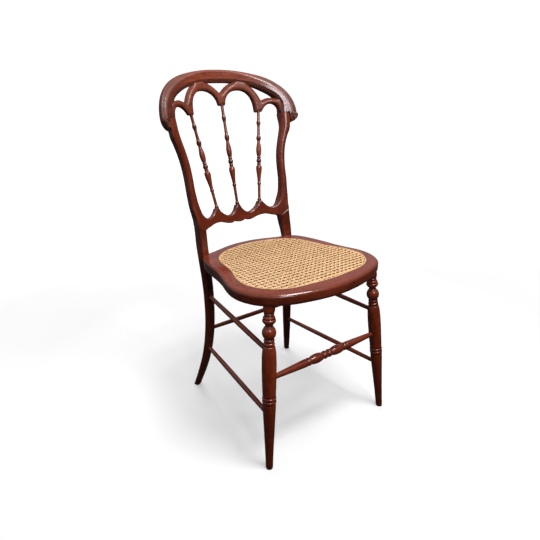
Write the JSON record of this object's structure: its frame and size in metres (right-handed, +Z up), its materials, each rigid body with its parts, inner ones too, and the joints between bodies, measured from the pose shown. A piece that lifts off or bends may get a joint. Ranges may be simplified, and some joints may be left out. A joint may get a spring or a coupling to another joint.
{
  "type": "dining chair",
  "caption": "Wooden side chair with a waisted cane seat, turned front legs, sabre rear legs and a hoop back with an arcade on turned spindles.",
  "frame": {"origin": "on the floor under the middle of the bounding box", "axes": "+Z up, the front of the chair towards -Y, the sitter's left towards +X"},
  "size_m": [0.4246, 0.539, 0.8919],
  "materials": {
    "back_wood": "red-brown polish, semi-gloss",
    "seat_wood": "red-brown polish, semi-gloss",
    "leg_wood": "red-brown polish, semi-gloss",
    "cane_weave": "natural cane, satin",
    "cane_edging": "natural cane, satin",
    "dowel_wood": "bare wood, matt"
  },
  "bodies": {
    "root": {"seat_front_rail": "seat_wood", "seat_side_rail_left": "seat_wood", "seat_side_rail_right": "seat_wood", "seat_back_rail": "seat_wood", "cane_panel": "cane_weave", "cane_binder": "cane_edging", "front_leg_left": "leg_wood", "front_leg_right": "leg_wood", "rear_leg_left": "leg_wood", "rear_leg_right": "leg_wood", "front_stretcher": "leg_wood", "side_stretcher_upper_left": "leg_wood", "side_stretcher_upper_right": "leg_wood", "side_stretcher_lower_left": "leg_wood", "side_stretcher_lower_right": "leg_wood", "rear_stretcher": "leg_wood", "crest_rail": "back_wood", "back_stile_left": "back_wood", "back_stile_right": "back_wood", "cross_rail": "back_wood", "arcade_rail": "back_wood", "spindle_left": "back_wood", "spindle_centre": "back_wood", "spindle_right": "back_wood", "seat_frame_dowels": "dowel_wood", "rear_post_dowels": "dowel_wood", "crest_dowels": "dowel_wood", "stile_foot_dowels": "dowel_wood", "cross_rail_dowels": "dowel_wood", "arcade_dowels": "dowel_wood"}
  },
  "joints": []
}
